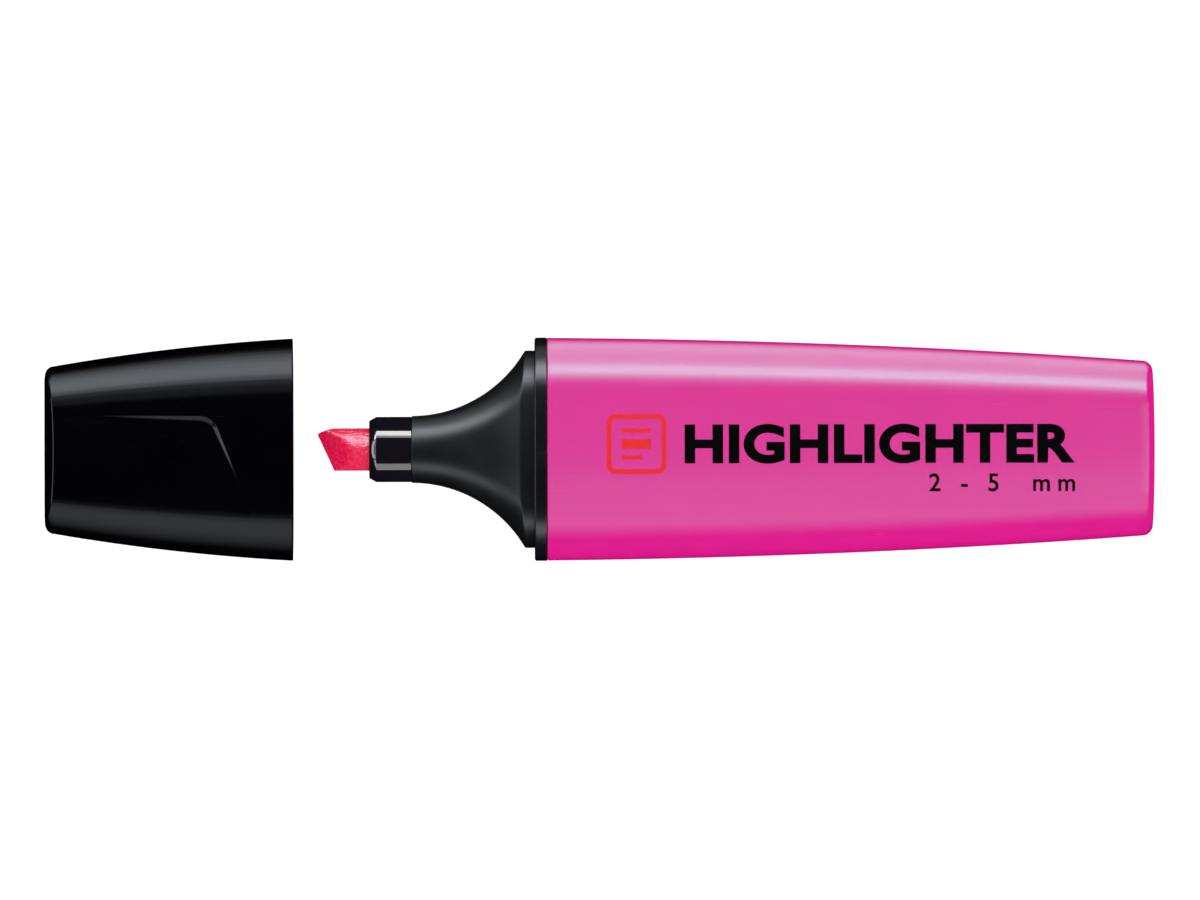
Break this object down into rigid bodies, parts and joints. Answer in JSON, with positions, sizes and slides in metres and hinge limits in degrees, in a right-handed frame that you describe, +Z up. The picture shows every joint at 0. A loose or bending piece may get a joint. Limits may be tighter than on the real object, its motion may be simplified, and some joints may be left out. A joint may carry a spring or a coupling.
{
  "type": "highlighter pen",
  "caption": "Flat, wide-bodied highlighter pen with a slanted chisel felt nib and a tapered pull-off cap that seals on a polished collar.",
  "frame": {"origin": "middle of the footprint, on the surface the pen lies on, with the cap off and in line", "axes": "+X along the pen from the cap's closed end to the barrel's closed end, +Y across the broad face, +Z up through the thickness"},
  "size_m": [0.134, 0.027, 0.017],
  "materials": {
    "barrel": "moulded magenta plastic, satin gloss, printed on the broad faces",
    "front_section": "fine-textured matt black",
    "nib_holder": "polished black",
    "nib": "ink-soaked porous fibre felt",
    "ink_reservoir": "ink-soaked fibre bundle",
    "reservoir_wrap": "thin clear film",
    "cap_shell": "satin-gloss black",
    "cap_inner_seal": "plain black soft plastic"
  },
  "bodies": {
    "pen": {"barrel": "barrel", "front_section": "front_section", "nib_holder": "nib_holder", "nib": "nib", "ink_reservoir": "ink_reservoir", "reservoir_wrap": "reservoir_wrap"},
    "cap": {"cap_shell": "cap_shell", "cap_inner_seal": "cap_inner_seal"}
  },
  "joints": [
    {"name": "cap_slide", "type": "slide", "parent": "pen", "child": "cap", "axis": [1, 0, 0], "range_m": [0, 0.02915]}
  ]
}
